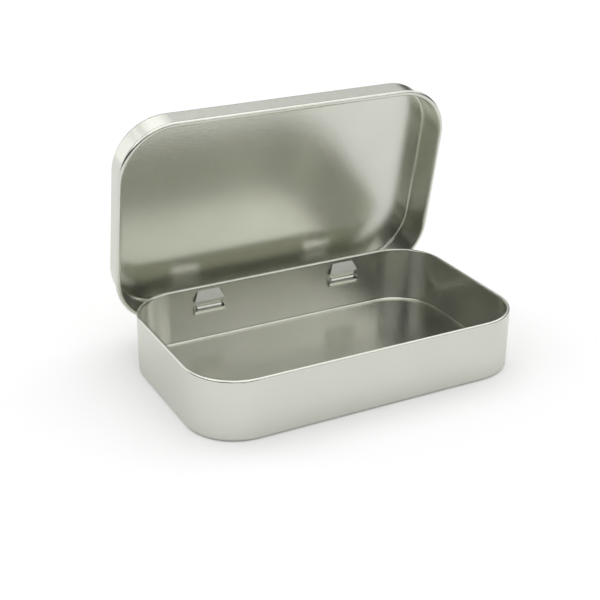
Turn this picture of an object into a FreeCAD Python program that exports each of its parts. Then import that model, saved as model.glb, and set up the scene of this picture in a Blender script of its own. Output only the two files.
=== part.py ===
import FreeCAD, Part
import math
import os
import Sketcher

# A plain tinplate box with a hinged lid, modelled open.
# Two pressed pieces make it: the tray, whose rim is hemmed inward, and the lid,
# whose rim is curled outward into a bead. The lid's two tongues are rolled round
# two bars that are lanced out of the tray's back wall, and that is the hinge.
# X runs along the box, +Y points at the hinge side, +Z is up, and the origin is
# the middle of the tray's underside. The lid is drawn shut, and its Placement
# swings it open about the hinge axis.

SIZES = (
    # alias, millimetres or degrees, what it is
    ("sheet", 0.25, "thickness of the tinplate"),
    # tray
    ("tray_length", 95.0, "outside length of the tray"),
    ("tray_depth", 57.3, "outside depth of the tray"),
    ("tray_height", 16.9, "height of the tray over its hemmed rim"),
    ("corner_radius", 13.9, "outside radius of the tray's upright corners"),
    ("foot_radius", 0.9, "outside radius between the tray's wall and floor"),
    ("hem_radius", 0.55, "outside radius of the hem at the tray's rim"),
    ("hem_leg", 0.75, "straight end of the hem below its curve"),
    # lid
    ("closed_height", 18.1, "height of the shut box"),
    ("lid_height", 8.95, "height of the lid, from its bead to its top"),
    ("fit_side", 0.5, "gap between the lid's skirt and the tray at each end"),
    ("fit_front", 0.65, "the same gap at the front, where the rim swings in"),
    ("fit_back", 0.35, "the same gap at the back"),
    ("crown_radius", 0.95, "outside radius between the lid's panel and skirt"),
    ("bead_radius", 0.725, "outside radius of the bead round the lid's rim"),
    ("bead_wrap", 250.0, "angle that the bead's curl covers"),
    # hinge
    ("open_angle", 79.0, "how far the lid stands open"),
    ("hinge_spread", 43.4, "distance between the middles of the two hinges"),
    ("axis_height", 9.5, "height of the hinge axis"),
    ("axis_offset", 0.45, "distance of the hinge axis outside the back wall"),
    ("window_width", 8.4, "width of the window that a bar is lanced from"),
    ("window_rise", 2.9, "height of the window's upper edge above the axis"),
    ("window_play", 0.1, "gap below a rolled tongue in its window"),
    ("bar_radius", 0.95, "outside radius of the half-round bar"),
    ("knuckle_play", 0.05, "radial clearance between a bar and its tongue"),
    ("tongue_side_play", 0.2, "gap between a tongue and the bar's end webs"),
    ("tongue_top", 95.0, "angle at which a shut tongue leaves the skirt"),
    ("tongue_wrap", 271.0, "angle that a tongue covers round its bar"),
    ("notch_play", 0.15, "gap round the bar and its webs in the lid's rim"),
    ("lip_play", 0.25, "gap between a tongue and the lip in front of it"),
    ("lip_width", 9.2, "width of the lip pressed in below each window"),
    ("lip_edge", 176.0, "angle about the axis of the lip's free edge"),
    ("lip_root", 247.0, "angle about the axis where the lip joins the wall"),
    ("lip_web_top", 150.0, "angle about the axis where the lip's ends stop"),
    ("hood_push", 1.05, "how far the hood above each window is pressed in"),
    ("hood_foot", 9.8, "width of the hood at the window"),
    ("hood_head", 6.8, "width of the hood just below the hem"),
    ("hood_draft", 0.3, "how much narrower the hood's face is on each side"),
    ("hood_feather", 0.02, "push of the hood where it starts, below the hem"),
)

START, END, CENTRE = 1, 2, 3
ORIGIN = (-1, START)
VERTICAL_AXIS = -2
CUT_MARGIN = "0.5"

doc = FreeCAD.newDocument("hinged_tin")
sizes = doc.addObject("Spreadsheet::Sheet", "Sizes")
for row, (alias, size, meaning) in enumerate(SIZES, start=1):
    sizes.set("A%d" % row, meaning)
    sizes.set("B%d" % row, str(size))
    sizes.setAlias("B%d" % row, alias)
doc.recompute()

# Formulas over the sheet that more than one feature uses.
BACK = "(Sizes.tray_depth / 2)"
BACK_INSIDE = "(Sizes.tray_depth / 2 - Sizes.sheet)"
HEM_Z = "(Sizes.tray_height - Sizes.hem_radius)"
AXIS_Y = "(Sizes.tray_depth / 2 + Sizes.axis_offset)"
AXIS_Z = "Sizes.axis_height"
HINGE_X = "(Sizes.hinge_spread / 2)"
WINDOW_TOP = "(Sizes.axis_height + Sizes.window_rise)"
TONGUE_INSIDE = "(Sizes.bar_radius + Sizes.knuckle_play)"
TONGUE_OUTSIDE = "(Sizes.bar_radius + Sizes.knuckle_play + Sizes.sheet)"
TONGUE_WIDTH = "(Sizes.window_width - 2 * Sizes.sheet - 2 * Sizes.tongue_side_play)"
LIP_INSIDE = "(%s + Sizes.lip_play)" % TONGUE_OUTSIDE
LIP_OUTSIDE = "(%s + Sizes.lip_play + Sizes.sheet)" % TONGUE_OUTSIDE
BEAD_Z = "(Sizes.closed_height - Sizes.lid_height + Sizes.bead_radius)"
SKIRT_FRONT = "(Sizes.tray_depth / 2 + Sizes.fit_front + Sizes.sheet)"
SKIRT_BACK = "(Sizes.tray_depth / 2 + Sizes.fit_back + Sizes.sheet)"


def value(formula):
    """The number that a formula over the sheet gives now."""
    return float(sizes.evalExpression(formula))


def origin_plane(body, role):
    """The body's own origin plane of that role."""
    planes = [feature for feature in body.Origin.OriginFeatures if feature.Role == role]
    return planes[0]


def new_sketch(body, name, role, offset_x="0", offset_z="0"):
    """An empty sketch on an origin plane, moved along its own x and normal."""
    sketch = body.newObject("Sketcher::SketchObject", name)
    sketch.AttachmentSupport = (origin_plane(body, role), "")
    sketch.MapMode = "FlatFace"
    sketch.setExpression("AttachmentOffset.Base.x", offset_x)
    sketch.setExpression("AttachmentOffset.Base.z", offset_z)
    return sketch


def level_sketch(body, name, height, offset_x="0"):
    """A sketch that lies level at a height, with x and y as the box has them."""
    return new_sketch(body, name, "XY_Plane", offset_x, height)


def section_sketch(body, name, along="0"):
    """An upright sketch across the box: its x is the box's Y and its y is Z."""
    return new_sketch(body, name, "YZ_Plane", "0", along)


def line(start, end):
    """A sketch line between two (x, y) points."""
    return Part.LineSegment(FreeCAD.Vector(*start, 0), FreeCAD.Vector(*end, 0))


def arc(centre, radius, first, last):
    """A sketch arc, anticlockwise from one angle to another, in degrees."""
    circle = Part.Circle(FreeCAD.Vector(*centre, 0), FreeCAD.Vector(0, 0, 1), radius)
    return Part.ArcOfCircle(circle, math.radians(first), math.radians(last))


def on_circle(centre, radius, angle):
    """The (x, y) point of a circle at an angle in degrees."""
    turn = math.radians(angle)
    return (centre[0] + radius * math.cos(turn), centre[1] + radius * math.sin(turn))


def relate(sketch, kind, *geometry):
    """Add a constraint without a size."""
    sketch.addConstraint(Sketcher.Constraint(kind, *geometry))


def join(sketch, kind, *corners):
    """Join sketch ends in pairs, each corner as (edge, end, edge, end)."""
    for corner in corners:
        relate(sketch, kind, *corner)


def drive(sketch, name, formula, kind, *geometry):
    """Add a named dimension and bind it to a formula over the sheet."""
    size = value(formula)
    if kind == "Angle":
        size = math.radians(size)
        formula = "(%s) * 1deg" % formula
    index = sketch.addConstraint(Sketcher.Constraint(kind, *geometry, size))
    sketch.renameConstraint(index, name)
    sketch.setExpression("Constraints.%s" % name, formula)


def place(sketch, name, x_formula, y_formula, *point):
    """Drive a sketch point to a place right of the origin and above it."""
    drive(sketch, name + "_x", x_formula, "DistanceX", *ORIGIN, *point)
    drive(sketch, name + "_y", y_formula, "DistanceY", *ORIGIN, *point)


def rounded_outline(sketch, side, front, back, corner):
    """A rounded rectangle, its front edge split at x = 0 where a pipe starts."""
    half, low, high, radius = (value(size) for size in (side, front, back, corner))
    right, left = half - radius, radius - half
    lower, upper = radius - low, high - radius
    sketch.addGeometry([
        line((0, -low), (right, -low)),
        arc((right, lower), radius, -90, 0),
        line((half, lower), (half, upper)),
        arc((right, upper), radius, 0, 90),
        line((right, high), (left, high)),
        arc((left, upper), radius, 90, 180),
        line((-half, upper), (-half, lower)),
        arc((left, lower), radius, 180, 270),
        line((left, -low), (0, -low)),
    ], False)
    front_right, right_side, back_side, left_side, front_left = 0, 2, 4, 6, 8
    for edge in range(front_left):
        relate(sketch, "Tangent", edge, END, edge + 1, START)
    relate(sketch, "Coincident", front_left, END, front_right, START)
    relate(sketch, "PointOnObject", front_right, START, VERTICAL_AXIS)
    for edge in (front_right, back_side, front_left):
        relate(sketch, "Horizontal", edge)
    for edge in (right_side, left_side):
        relate(sketch, "Vertical", edge)
    for edge in (3, 5, 7):
        relate(sketch, "Equal", 1, edge)
    drive(sketch, "corner", corner, "Radius", 1)
    drive(sketch, "right", side, "DistanceX", *ORIGIN, right_side, START)
    drive(sketch, "left", side, "DistanceX", left_side, START, *ORIGIN)
    drive(sketch, "front", front, "DistanceY", front_right, START, *ORIGIN)
    drive(sketch, "back", back, "DistanceY", *ORIGIN, back_side, START)


def ring_sector(sketch, centre_x, centre_y, inside, outside, first, last):
    """A curled strip of sheet seen end on: part of a ring, anticlockwise."""
    centre = (value(centre_x), value(centre_y))
    inner, outer, begin, finish = (value(size) for size in (inside, outside, first, last))
    sketch.addGeometry([
        arc(centre, outer, begin, finish),
        line(on_circle(centre, inner, finish), on_circle(centre, outer, finish)),
        arc(centre, inner, begin, finish),
        line(on_circle(centre, inner, begin), on_circle(centre, outer, begin)),
    ], False)
    join(sketch, "Coincident", (0, END, 1, END), (1, START, 2, END),
         (2, START, 3, START), (3, END, 0, START), (0, CENTRE, 2, CENTRE))
    relate(sketch, "PointOnObject", 0, CENTRE, 1)
    relate(sketch, "PointOnObject", 0, CENTRE, 3)
    place(sketch, "centre", centre_x, centre_y, 0, CENTRE)
    drive(sketch, "outside", outside, "Radius", 0)
    drive(sketch, "inside", inside, "Radius", 2)
    drive(sketch, "first", first, "Angle", 3)
    drive(sketch, "last", last, "Angle", 1)


def rectangle(sketch, left, bottom, right, top):
    """A rectangle given by the formulas of its four sides."""
    x_low, y_low, x_high, y_high = (value(size) for size in (left, bottom, right, top))
    sketch.addGeometry([
        line((x_low, y_low), (x_high, y_low)),
        line((x_high, y_low), (x_high, y_high)),
        line((x_high, y_high), (x_low, y_high)),
        line((x_low, y_high), (x_low, y_low)),
    ], False)
    join(sketch, "Coincident", (0, END, 1, START), (1, END, 2, START),
         (2, END, 3, START), (3, END, 0, START))
    for edge in (0, 2):
        relate(sketch, "Horizontal", edge)
    for edge in (1, 3):
        relate(sketch, "Vertical", edge)
    place(sketch, "low", left, bottom, 0, START)
    place(sketch, "high", right, top, 2, START)


def trapezoid(sketch, wall, face, wall_width, face_width):
    """A level slice of a pressed hood: wide at the wall, narrower at its face."""
    y_wall, y_face = value(wall), value(face)
    half_wall, half_face = value(wall_width) / 2, value(face_width) / 2
    sketch.addGeometry([
        line((-half_face, y_face), (half_face, y_face)),
        line((half_face, y_face), (half_wall, y_wall)),
        line((half_wall, y_wall), (-half_wall, y_wall)),
        line((-half_wall, y_wall), (-half_face, y_face)),
    ], False)
    join(sketch, "Coincident", (0, END, 1, START), (1, END, 2, START),
         (2, END, 3, START), (3, END, 0, START))
    for edge in (0, 2):
        relate(sketch, "Symmetric", edge, START, edge, END, VERTICAL_AXIS)
    drive(sketch, "wall", wall, "DistanceY", *ORIGIN, 2, START)
    drive(sketch, "face", face, "DistanceY", *ORIGIN, 0, START)
    drive(sketch, "wall_width", wall_width, "DistanceX", 2, END, 2, START)
    drive(sketch, "face_width", face_width, "DistanceX", 0, START, 0, END)


def extrude(body, kind, name, sketch, length, both_ways=True):
    """Pad or pocket a sketch, to one side or half to each."""
    feature = body.newObject("PartDesign::" + kind, name)
    feature.Profile = sketch
    feature.SideType = "Symmetric" if both_ways else "One side"
    feature.setExpression("Length", length)
    doc.recompute()
    return feature


def edges_at(feature, height):
    """Names of the feature's edges that lie level at a height."""
    names = []
    for index, edge in enumerate(feature.Shape.Edges, start=1):
        box = edge.BoundBox
        if abs(box.ZMin - height) < 1e-6 and abs(box.ZMax - height) < 1e-6:
            names.append("Edge%d" % index)
    return names


def face_at(feature, height):
    """Name of the feature's level face at a height."""
    for index, face in enumerate(feature.Shape.Faces, start=1):
        box = face.BoundBox
        if abs(box.ZMin - height) < 1e-6 and abs(box.ZMax - height) < 1e-6:
            return "Face%d" % index
    raise ValueError("no level face at %g mm" % height)


def round_edges(body, name, feature, height, radius):
    """Round every edge at a height, as pressing the sheet over a die does."""
    fillet = body.newObject("PartDesign::Fillet", name)
    fillet.Base = (feature, edges_at(feature, height))
    fillet.setExpression("Radius", radius)
    doc.recompute()
    return fillet


def hollow(body, name, feature, height):
    """Leave only the sheet's thickness, inward, open at the face of a height."""
    shell = body.newObject("PartDesign::Thickness", name)
    shell.Base = (feature, [face_at(feature, height)])
    shell.setExpression("Value", "Sizes.sheet")
    shell.Reversed = True
    shell.Join = "Arc"
    doc.recompute()
    return shell


def pipe(body, name, profile, spine):
    """Carry a rim's section round the whole outline."""
    feature = body.newObject("PartDesign::AdditivePipe", name)
    feature.Profile = profile
    feature.Spine = (spine, ["Edge%d" % (n + 1) for n in range(spine.GeometryCount)])
    feature.Transition = "Transformed"
    doc.recompute()
    return feature


def loft(body, kind, name, first, last):
    """A straight-sided loft between two slices."""
    feature = body.newObject("PartDesign::" + kind, name)
    feature.Profile = first
    feature.Sections = [last]
    feature.Ruled = True
    doc.recompute()
    return feature


def mirror(body, name, features):
    """Repeat the right hinge's features at the left."""
    feature = body.newObject("PartDesign::Mirrored", name)
    feature.Originals = features
    feature.MirrorPlane = (origin_plane(body, "YZ_Plane"), [""])
    body.Tip = feature
    doc.recompute()
    return feature


def hem_section(sketch):
    """The tray's rim, turned over inward: half a ring with a straight leg."""
    radius, inner = value("Sizes.hem_radius"), value("Sizes.hem_radius - Sizes.sheet")
    centre = (radius - value(BACK), value(HEM_Z))
    foot = centre[1] - value("Sizes.hem_leg")
    sketch.addGeometry([
        arc(centre, radius, 0, 180),
        line((centre[0] + radius, centre[1]), (centre[0] + radius, foot)),
        line((centre[0] + radius, foot), (centre[0] + inner, foot)),
        line((centre[0] + inner, foot), (centre[0] + inner, centre[1])),
        arc(centre, inner, 0, 180),
        line((centre[0] - inner, centre[1]), (centre[0] - radius, centre[1])),
    ], False)
    join(sketch, "Tangent", (0, START, 1, START), (3, END, 4, START))
    join(sketch, "Coincident", (1, END, 2, START), (2, END, 3, START),
         (4, END, 5, START), (5, END, 0, END), (0, CENTRE, 4, CENTRE))
    relate(sketch, "PointOnObject", 0, CENTRE, 5)
    relate(sketch, "Horizontal", 2)
    relate(sketch, "Horizontal", 5)
    relate(sketch, "Vertical", 1)
    relate(sketch, "Vertical", 3)
    drive(sketch, "outside", "Sizes.hem_radius", "Radius", 0)
    drive(sketch, "inside", "Sizes.hem_radius - Sizes.sheet", "Radius", 4)
    drive(sketch, "height", HEM_Z, "DistanceY", *ORIGIN, 0, CENTRE)
    drive(sketch, "front", BACK, "DistanceX", 5, END, *ORIGIN)
    drive(sketch, "leg", "Sizes.hem_leg", "DistanceY", 1, END, 1, START)


def bar_web(sketch):
    """End web of a lanced bar: from the wall out to the bar's round back."""
    wall, radius = value(BACK_INSIDE), value("Sizes.bar_radius")
    centre = (value(AXIS_Y), value(AXIS_Z))
    top, bottom = centre[1] + radius, centre[1] - radius
    sketch.addGeometry([
        arc(centre, radius, -90, 90),
        line((centre[0], top), (wall, top)),
        line((wall, top), (wall, bottom)),
        line((wall, bottom), (centre[0], bottom)),
    ], False)
    join(sketch, "Tangent", (0, END, 1, START), (3, END, 0, START))
    join(sketch, "Coincident", (1, END, 2, START), (2, END, 3, START))
    relate(sketch, "Horizontal", 1)
    relate(sketch, "Horizontal", 3)
    relate(sketch, "Vertical", 2)
    place(sketch, "centre", AXIS_Y, AXIS_Z, 0, CENTRE)
    drive(sketch, "radius", "Sizes.bar_radius", "Radius", 0)
    drive(sketch, "wall", BACK_INSIDE, "DistanceX", *ORIGIN, 2, START)


def lip_web(sketch):
    """End web of a lip: round towards the tongue, flat against the wall."""
    wall, radius = value(BACK_INSIDE), value(LIP_OUTSIDE)
    centre = (value(AXIS_Y), value(AXIS_Z))
    top_angle = value("Sizes.lip_web_top")
    root_angle = 360 - math.degrees(math.acos((wall - centre[0]) / radius))
    top = on_circle(centre, radius, top_angle)
    root = on_circle(centre, radius, root_angle)
    sketch.addGeometry([
        arc(centre, radius, top_angle, root_angle),
        line(root, (wall, top[1])),
        line((wall, top[1]), top),
        line(centre, top),
    ], False)
    join(sketch, "Coincident", (0, END, 1, START), (1, END, 2, START),
         (2, END, 0, START), (3, START, 0, CENTRE), (3, END, 0, START))
    sketch.toggleConstruction(3)
    relate(sketch, "Vertical", 1)
    relate(sketch, "Horizontal", 2)
    place(sketch, "centre", AXIS_Y, AXIS_Z, 0, CENTRE)
    drive(sketch, "radius", LIP_OUTSIDE, "Radius", 0)
    drive(sketch, "wall", BACK_INSIDE, "DistanceX", *ORIGIN, 1, START)
    drive(sketch, "top", "Sizes.lip_web_top", "Angle", 3)


def make_tray():
    """The tray, with its hemmed rim and the tray's half of both hinges."""
    body = doc.addObject("PartDesign::Body", "Tray")
    body.Label = "tray"

    outline = level_sketch(body, "TrayOutline", "0")
    rounded_outline(outline, "Sizes.tray_length / 2", BACK, BACK, "Sizes.corner_radius")
    block = extrude(body, "Pad", "TrayBlock", outline, HEM_Z, both_ways=False)
    foot = round_edges(body, "TrayFoot", block, 0, "Sizes.foot_radius")
    hollow(body, "TraySheet", foot, value(HEM_Z))

    rim = level_sketch(body, "RimPath", HEM_Z)
    rounded_outline(rim, "Sizes.tray_length / 2", BACK, BACK, "Sizes.corner_radius")
    section = section_sketch(body, "HemSection")
    hem_section(section)
    pipe(body, "Hem", section, rim)

    hood = [
        make_hood_slices(body, "HoodOutside", "0", BACK_INSIDE),
        make_hood_slices(body, "HoodInside", "Sizes.sheet", "(%s + Sizes.sheet)" % BACK),
    ]
    hood_shape = loft(body, "AdditiveLoft", "Hood", *hood[0])
    hood_hollow = loft(body, "SubtractiveLoft", "HoodHollow", *hood[1])

    window = section_sketch(body, "WindowSection", HINGE_X)
    window_bottom = "(%s - %s - Sizes.window_play)" % (AXIS_Z, TONGUE_OUTSIDE)
    rectangle(window, "(%s - %s)" % (BACK_INSIDE, CUT_MARGIN), window_bottom,
              "(%s + %s)" % (BACK, CUT_MARGIN), WINDOW_TOP)
    window_cut = extrude(body, "Pocket", "Window", window, "Sizes.window_width")

    web = section_sketch(body, "BarWebSection", HINGE_X)
    bar_web(web)
    bar_block = extrude(body, "Pad", "BarWebs", web, "Sizes.window_width")
    between = "Sizes.window_width - 2 * Sizes.sheet"
    bar_room = extrude(body, "Pocket", "BarRoom", web, between)
    bar_sketch = section_sketch(body, "BarSection", HINGE_X)
    ring_sector(bar_sketch, AXIS_Y, AXIS_Z, "Sizes.bar_radius - Sizes.sheet",
                "Sizes.bar_radius", "-90", "90")
    bar = extrude(body, "Pad", "Bar", bar_sketch, "Sizes.window_width")

    lip_end = section_sketch(body, "LipWebSection", HINGE_X)
    lip_web(lip_end)
    lip_block = extrude(body, "Pad", "LipWebs", lip_end, "Sizes.lip_width")
    lip_room = extrude(body, "Pocket", "LipRoom", lip_end,
                       "Sizes.lip_width - 2 * Sizes.sheet")
    lip_sketch = section_sketch(body, "LipSection", HINGE_X)
    ring_sector(lip_sketch, AXIS_Y, AXIS_Z, LIP_INSIDE, LIP_OUTSIDE,
                "Sizes.lip_edge", "Sizes.lip_root")
    lip = extrude(body, "Pad", "Lip", lip_sketch, "Sizes.lip_width")

    mirror(body, "LeftHinge", [hood_shape, hood_hollow, window_cut, bar_block,
                               bar_room, bar, lip_block, lip_room, lip])
    return body


def make_hood_slices(body, name, inset, wall):
    """Bottom and top slice of the hood, inset by a thickness all round."""
    slices = []
    levels = (
        ("Foot", WINDOW_TOP, "Sizes.hood_foot", "Sizes.hood_push"),
        ("Head", "(%s - Sizes.hem_leg)" % HEM_Z, "Sizes.hood_head", "Sizes.hood_feather"),
    )
    for level, height, width, push in levels:
        sketch = level_sketch(body, name + level, height, HINGE_X)
        face = "(%s - %s + %s)" % (BACK_INSIDE, push, inset)
        wall_width = "(%s - 2 * %s)" % (width, inset)
        face_width = "(%s - 2 * %s - 2 * Sizes.hood_draft)" % (width, inset)
        trapezoid(sketch, wall, face, wall_width, face_width)
        slices.append(sketch)
    return slices


def make_lid():
    """The lid, with its beaded rim and the two tongues that hinge it."""
    body = doc.addObject("PartDesign::Body", "Lid")
    body.Label = "lid"

    outline = level_sketch(body, "LidOutline", BEAD_Z)
    rounded_outline(outline, "Sizes.tray_length / 2 + Sizes.fit_side + Sizes.sheet",
                    SKIRT_FRONT, SKIRT_BACK,
                    "Sizes.corner_radius + Sizes.fit_side + Sizes.sheet")
    block = extrude(body, "Pad", "LidBlock", outline,
                    "Sizes.lid_height - Sizes.bead_radius", both_ways=False)
    crown = round_edges(body, "LidCrown", block, value("Sizes.closed_height"),
                        "Sizes.crown_radius")
    hollow(body, "LidSheet", crown, value(BEAD_Z))

    rim = level_sketch(body, "BeadPath", BEAD_Z)
    rounded_outline(rim, "Sizes.tray_length / 2 + Sizes.fit_side + Sizes.sheet",
                    SKIRT_FRONT, SKIRT_BACK,
                    "Sizes.corner_radius + Sizes.fit_side + Sizes.sheet")
    section = section_sketch(body, "BeadSection")
    bead_y = "(Sizes.sheet - Sizes.bead_radius - %s)" % SKIRT_FRONT
    ring_sector(section, bead_y, BEAD_Z, "Sizes.bead_radius - Sizes.sheet",
                "Sizes.bead_radius", "360 - Sizes.bead_wrap", "360")
    pipe(body, "Bead", section, rim)

    notch = section_sketch(body, "NotchSection", HINGE_X)
    rectangle(notch, BACK, "(%s - 2 * Sizes.bead_radius)" % BEAD_Z,
              "(%s + 2 * Sizes.bead_radius + %s)" % (SKIRT_BACK, CUT_MARGIN),
              "(%s + Sizes.bar_radius + Sizes.notch_play)" % AXIS_Z)
    notch_cut = extrude(body, "Pocket", "Notch", notch,
                        "Sizes.window_width + 2 * Sizes.notch_play")
    curl = section_sketch(body, "TongueSection", HINGE_X)
    ring_sector(curl, AXIS_Y, AXIS_Z, TONGUE_INSIDE, TONGUE_OUTSIDE,
                "Sizes.tongue_top - Sizes.tongue_wrap", "Sizes.tongue_top")
    tongue = extrude(body, "Pad", "Tongue", curl, TONGUE_WIDTH)
    mirror(body, "LeftTongue", [notch_cut, tongue])

    turn = "Sizes.open_angle * 1deg"
    axis = {"y": AXIS_Y, "z": AXIS_Z, "turn": turn}
    body.Placement = FreeCAD.Placement(
        FreeCAD.Vector(0, 0, 0), FreeCAD.Rotation(FreeCAD.Vector(-1, 0, 0), 1.0))
    body.setExpression("Placement.Rotation.Angle", turn)
    body.setExpression("Placement.Base.y",
                       "{y} - {y} * cos({turn}) - {z} * sin({turn})".format(**axis))
    body.setExpression("Placement.Base.z",
                       "{z} + {y} * sin({turn}) - {z} * cos({turn})".format(**axis))
    doc.recompute()
    return body


def check(bodies):
    """Stop if any object failed or any piece isn't one valid solid."""
    for item in doc.Objects:
        if "Invalid" in item.State or "Error" in item.State:
            raise RuntimeError("%s failed: %s" % (item.Name, item.State))
    for body in bodies:
        shape = body.Shape
        if shape.isNull() or not shape.isValid() or len(shape.Solids) != 1:
            raise RuntimeError("%s isn't one valid solid" % body.Label)


pieces = [make_tray(), make_lid()]
doc.recompute()
check(pieces)
os.makedirs("parts", exist_ok=True)
for piece in pieces:
    piece.Shape.exportStep(os.path.join("parts", piece.Label + ".step"))
    print("%s: %.1f mm3" % (piece.Label, piece.Shape.Volume))
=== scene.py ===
import math

import bpy
from mathutils import Matrix, Vector

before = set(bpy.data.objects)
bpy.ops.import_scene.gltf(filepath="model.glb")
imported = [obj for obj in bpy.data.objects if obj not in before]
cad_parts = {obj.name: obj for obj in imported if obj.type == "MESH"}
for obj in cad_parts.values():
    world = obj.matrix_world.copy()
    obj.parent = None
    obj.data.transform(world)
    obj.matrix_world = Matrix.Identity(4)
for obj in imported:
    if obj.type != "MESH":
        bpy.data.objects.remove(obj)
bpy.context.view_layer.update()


# Tray ------------------------------------------------------------------------------
# The box itself, drawn in one stroke from 0.25 mm tinplate, which is steel sheet with
# a thin coat of tin on both sides. Its rim is hemmed inward, and a bar, a lip and a
# hood for each hinge are lanced and pressed out of its back wall.

def linear(hex_colour):
    """An sRGB colour such as "a1b2c3" as linear RGBA."""
    parts = [int(hex_colour[i:i + 2], 16) / 255 for i in (0, 2, 4)]
    return tuple(c / 12.92 if c <= 0.04045 else ((c + 0.055) / 1.055) ** 2.4
                 for c in parts) + (1.0,)


def add_node(tree, kind, settings=(), inputs=(), links=()):
    """Add a node, set its settings and inputs, and link (output, input) pairs."""
    node = tree.nodes.new(kind)
    for name, setting in dict(settings).items():
        setattr(node, name, setting)
    for name, value in dict(inputs).items():
        node.inputs[name].default_value = value
    for output, name in links:
        tree.links.new(output, node.inputs[name])
    return node


def per_metre(millimetres):
    """The scale of a pattern whose features are that wide."""
    return 1000.0 / millimetres


def tinplate(name):
    """Tinplate with a stone finish.

    Cold-rolled steel, tinned and then flow-melted. The ground rolls leave a faint
    grain, so it mirrors what stands near it but blurs it, and the melted tin sets in
    soft patches that are a little darker or lighter. The steel's own grain is under
    0.05 mm wide and would not show, so it is drawn coarser, 0.5 mm wide.
    """
    grain_width, patch_width = 0.5, 11.0
    grain_depth = 0.05
    smoothest, roughest = 0.205, 0.262

    material = bpy.data.materials.new(name)
    material.use_nodes = True
    tree = material.node_tree
    shader = tree.nodes["Principled BSDF"]
    shader.inputs["Metallic"].default_value = 1.0
    place = add_node(tree, "ShaderNodeTexCoord").outputs["Object"]

    grain = add_node(tree, "ShaderNodeTexNoise",
                     inputs={"Scale": per_metre(grain_width), "Detail": 3.0,
                             "Roughness": 0.55},
                     links=[(place, "Vector")])
    clouds = add_node(tree, "ShaderNodeTexNoise",
                      inputs={"Scale": per_metre(patch_width), "Detail": 3.0},
                      links=[(place, "Vector")])

    tin = add_node(tree, "ShaderNodeMix", {"data_type": "RGBA"},
                   links=[(clouds.outputs["Fac"], "Factor")])
    tin.inputs["A"].default_value = linear("d9dad0")
    tin.inputs["B"].default_value = linear("e1e2d9")
    tree.links.new(tin.outputs["Result"], shader.inputs["Base Color"])

    finish = add_node(tree, "ShaderNodeMapRange",
                      inputs={"From Min": 0.3, "From Max": 0.7,
                              "To Min": smoothest, "To Max": roughest},
                      links=[(grain.outputs["Fac"], "Value")])
    tree.links.new(finish.outputs["Result"], shader.inputs["Roughness"])
    relief = add_node(tree, "ShaderNodeBump",
                      inputs={"Strength": 0.3, "Distance": grain_depth / 1000.0},
                      links=[(grain.outputs["Fac"], "Height")])
    tree.links.new(relief.outputs["Normal"], shader.inputs["Normal"])
    return material


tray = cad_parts["tray"]
tray.data.materials.clear()
tray.data.materials.append(tinplate("tinplate_tray"))


# Lid -------------------------------------------------------------------------------
# A shallow pressing of the same tinplate, with its rim curled outward into a bead and
# its two tongues rolled round the tray's bars. Its large plain panel shows the grain
# of the sheet most.

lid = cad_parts["lid"]
lid.data.materials.clear()
lid.data.materials.append(tinplate("tinplate_lid"))


# Table, room and light -------------------------------------------------------------
# A white table in a dim studio. Soft boxes hang overhead and stand all round, and the
# darker gaps between them are what gives the bright metal light and dark to show.

table_side = 6.0
table_drop = 0.00002    # the table's face lies this far below the tin's flat underside

bpy.ops.object.select_all(action="DESELECT")
bpy.ops.mesh.primitive_plane_add(size=table_side, location=(0.0, 0.0, -table_drop))
table = bpy.context.object
table.name = "table"

# White laminate, dead matt: it takes the tin's shadow and gives no highlight. A little
# white is added for the eye alone, so that the table is as white as the backdrop. The
# metal mirrors the table as it is lit.
white_for_the_eye = 0.13
laminate = bpy.data.materials.new("white_matt_laminate")
laminate.use_nodes = True
tree = laminate.node_tree
shader = tree.nodes["Principled BSDF"]
shader.inputs["Base Color"].default_value = linear("f4f4f4")
shader.inputs["Roughness"].default_value = 1.0
shader.inputs["Specular IOR Level"].default_value = 0.0
shader.inputs["Emission Color"].default_value = (1.0, 1.0, 1.0, 1.0)
ray = add_node(tree, "ShaderNodeLightPath")
to_eye = add_node(tree, "ShaderNodeMath", {"operation": "MULTIPLY"},
                  {1: white_for_the_eye}, [(ray.outputs["Is Camera Ray"], 0)])
tree.links.new(to_eye.outputs[0], shader.inputs["Emission Strength"])
table.data.materials.append(laminate)

# The studio is drawn on the world. Each soft box is a bright patch of it with soft
# edges. The eye sees plain white behind the tin, and the metal sees the studio.
room = bpy.data.worlds.new("studio")
room.use_nodes = True
bpy.context.scene.world = room
tree = room.node_tree
direction = add_node(tree, "ShaderNodeSeparateXYZ", links=[
    (add_node(tree, "ShaderNodeTexCoord").outputs["Generated"], "Vector")])


def maths(operation, *inputs):
    """A Math node on sockets and numbers, and its output."""
    node = add_node(tree, "ShaderNodeMath", {"operation": operation})
    for index, given in enumerate(inputs):
        if isinstance(given, (int, float)):
            node.inputs[index].default_value = given
        else:
            tree.links.new(given, node.inputs[index])
    return node.outputs[0]


def within(angle, middle, half, soft):
    """1 inside a range of angles in degrees, falling softly to 0 outside it."""
    turned = maths("WRAP", maths("SUBTRACT", angle, middle), 180, -180)
    off = maths("ABSOLUTE", turned)
    edge = add_node(tree, "ShaderNodeMapRange", {"interpolation_type": "SMOOTHSTEP"},
                    {"From Min": half + soft, "From Max": half - soft}, [(off, "Value")])
    return edge.outputs["Result"]


bearing = maths("DEGREES",
                maths("ARCTAN2", direction.outputs["X"], direction.outputs["Y"]))
rise = maths("DEGREES", maths("ARCSINE", direction.outputs["Z"]))

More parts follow.
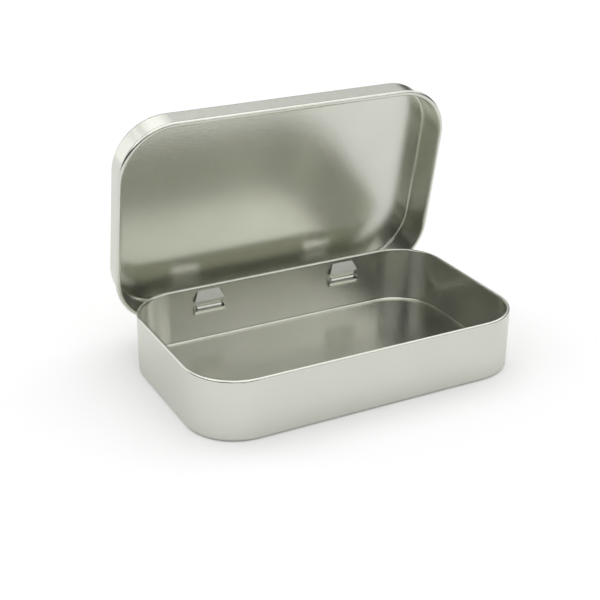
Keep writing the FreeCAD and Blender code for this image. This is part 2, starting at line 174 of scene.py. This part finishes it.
# The bearing (from the back, round over the right) and rise of each box's middle, its
# half width and half height, all in degrees, and its level.
soft_boxes = (
    (0, 90, 360, 15, 1.22),         # straight overhead
    (0, 67, 360, 11, 1.48),         # round the one overhead
    (22, 49, 45, 10, 1.45),         # back
    (28, 27, 58, 9, 0.68),          # back, low
    (-72, 43, 50, 11, 1.45),        # left
    (-36, 13, 14, 18, 1.25),        # back left, low
    (142, 38.5, 13, 4.5, 2.15),     # right front
    (190, 41.5, 30, 5.5, 1.70),     # over the camera
    (128, 24, 31, 9, 0.70),         # right front, low
    (175, 15, 32, 4.2, 0.95),       # front, near the table
    (147, 6, 18, 7, 0.50),          # right front, at the table
    (85, 42, 25, 14, 1.60),         # right
    (150, 49.5, 50, 6.5, 0.60),     # front, high
)
bearing_edge, rise_edge = 5, 3
light = 0.04    # the unlit studio
for turn, height, half_width, half_height, level in soft_boxes:
    patch = maths("MULTIPLY", within(bearing, turn, half_width, bearing_edge),
                  within(rise, height, half_height, rise_edge))
    light = maths("MAXIMUM", light, maths("MULTIPLY", patch, level))
ray = add_node(tree, "ShaderNodeLightPath")
backdrop = tree.nodes["Background"]
backdrop.inputs["Color"].default_value = (1.0, 1.0, 1.0, 1.0)
tree.links.new(maths("MAXIMUM", light, ray.outputs["Is Camera Ray"]),
               backdrop.inputs["Strength"])

# A lens of about 75 mm a third of a metre from the tin, at its left front and some
# 25 degrees above the table.
camera_data = bpy.data.cameras.new("camera")
camera_data.sensor_width = 36.0
camera_data.lens = 74.36
camera_data.clip_start = 0.01
camera = bpy.data.objects.new("camera", camera_data)
bpy.context.scene.collection.objects.link(camera)
bpy.context.scene.camera = camera

turn_round = math.radians(-27.978)
elevation = math.radians(24.722)
roll = math.radians(0.462)
distance = 0.338377
to_the_right, upward = -0.006553, 0.008167
aim = Vector((0.0, 0.0, 0.010))
back = Vector((math.sin(turn_round) * math.cos(elevation),
               -math.cos(turn_round) * math.cos(elevation),
               math.sin(elevation)))
right = Vector((math.cos(turn_round), math.sin(turn_round), 0.0))
up = back.cross(right)
turned_right = math.cos(roll) * right + math.sin(roll) * up
turned_up = math.cos(roll) * up - math.sin(roll) * right
stand = aim + distance * back + to_the_right * turned_right + upward * turned_up
camera.matrix_world = Matrix.Translation(stand) @ Matrix(
    (turned_right, turned_up, back)).transposed().to_4x4()

bpy.context.scene.view_settings.view_transform = "Standard"
